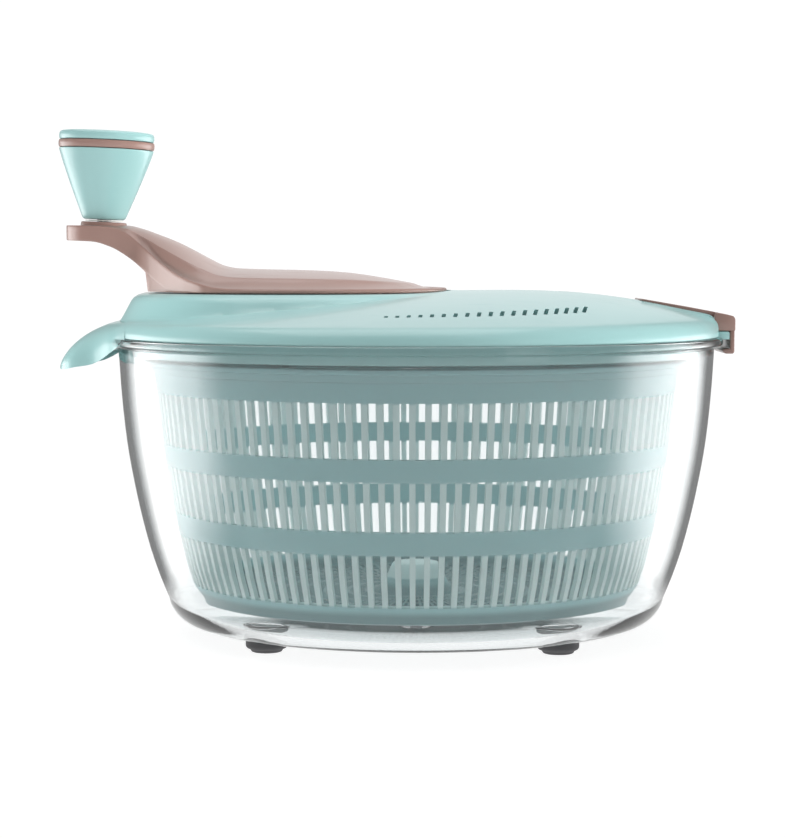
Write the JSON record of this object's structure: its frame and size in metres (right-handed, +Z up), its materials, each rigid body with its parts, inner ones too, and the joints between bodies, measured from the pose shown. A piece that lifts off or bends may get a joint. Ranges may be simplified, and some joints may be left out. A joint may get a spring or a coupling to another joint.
{
  "type": "salad spinner",
  "caption": "Hand-cranked salad spinner: a clear bowl on soft feet, a slotted basket that spins inside it, and a latched lid with an off-centre geared crank and a cone knob.",
  "frame": {"origin": "centre of the bowl's flat underside, on the bowl's and the basket's axis; the feet stand 4.6 mm lower", "axes": "+Z up along the bowl's axis; -X to the lift tab and the crank knob at rest, +X to the latch; the front is -Y"},
  "size_m": [0.2735, 0.251, 0.2055],
  "materials": {
    "lid": "satin mint plastic",
    "basket": "satin grey-mint plastic",
    "handle": "satin brown plastic",
    "bowl": "clear polished plastic",
    "rubber": "soft dark grey rubber",
    "acetal": "white low-friction plastic",
    "steel": "plated steel"
  },
  "bodies": {
    "bowl": {"bowl": "bowl", "foot_back_right": "rubber", "foot_back_left": "rubber", "foot_front_left": "rubber", "foot_front_right": "rubber", "pivot_pin": "steel"},
    "pivot": {"pivot_cap": "acetal"},
    "basket": {"basket": "basket"},
    "lid": {"lid_shell": "lid", "gear_cover": "lid", "crank_bush": "acetal", "pinion_bush": "acetal", "cover_screw_1": "steel", "cover_screw_2": "steel", "cover_screw_3": "steel", "cover_screw_4": "steel", "latch_pin": "steel", "latch_spring": "steel"},
    "latch": {"latch": "handle"},
    "drive": {"pinion": "acetal", "drive_disc": "basket", "drive_screw": "steel"},
    "crank": {"crank_handle": "handle", "crank_gear": "acetal", "crank_washer": "steel", "crank_screw": "steel", "knob_axle": "steel", "knob_washer": "acetal"},
    "knob": {"knob_grip": "lid", "knob_band": "handle", "knob_cap": "lid"}
  },
  "joints": [
    {"name": "basket_spin", "type": "hinge", "parent": "bowl", "child": "pivot", "pos_m": [0, 0, 0.0105], "axis": [0, 0, 1], "continuous": true},
    {"name": "basket_lift", "type": "slide", "parent": "pivot", "child": "basket", "axis": [0, 0, 1], "range_m": [0, 0.13]},
    {"name": "lid_lift", "type": "slide", "parent": "bowl", "child": "lid", "axis": [0, 0, 1], "range_m": [0, 0.26]},
    {"name": "latch_release", "type": "hinge", "parent": "lid", "child": "latch", "pos_m": [0.1185, 0, 0.121], "axis": [0, -1, 0], "range_deg": [0, 15], "stiffness_Nm_per_rad": 0.6, "springref_deg": -11.46},
    {"name": "crank_spin", "type": "hinge", "parent": "lid", "child": "crank", "pos_m": [-0.048, 0, 0.134], "axis": [0, 0, 1], "continuous": true},
    {"name": "drive_spin", "type": "hinge", "parent": "lid", "child": "drive", "pos_m": [0, 0, 0.125], "axis": [0, 0, 1], "continuous": true},
    {"name": "knob_spin", "type": "hinge", "parent": "crank", "child": "knob", "pos_m": [-0.127, 0, 0.1636], "axis": [0.0436, 0, 0.999], "continuous": true}
  ],
  "couplings": [
    {"joint": "drive_spin", "follows": "crank_spin", "ratio": -3.9231},
    {"joint": "basket_spin", "follows": "crank_spin", "ratio": -3.9231},
    {"joint": "basket_lift", "follows": "lid_lift", "ratio": 0.5}
  ]
}
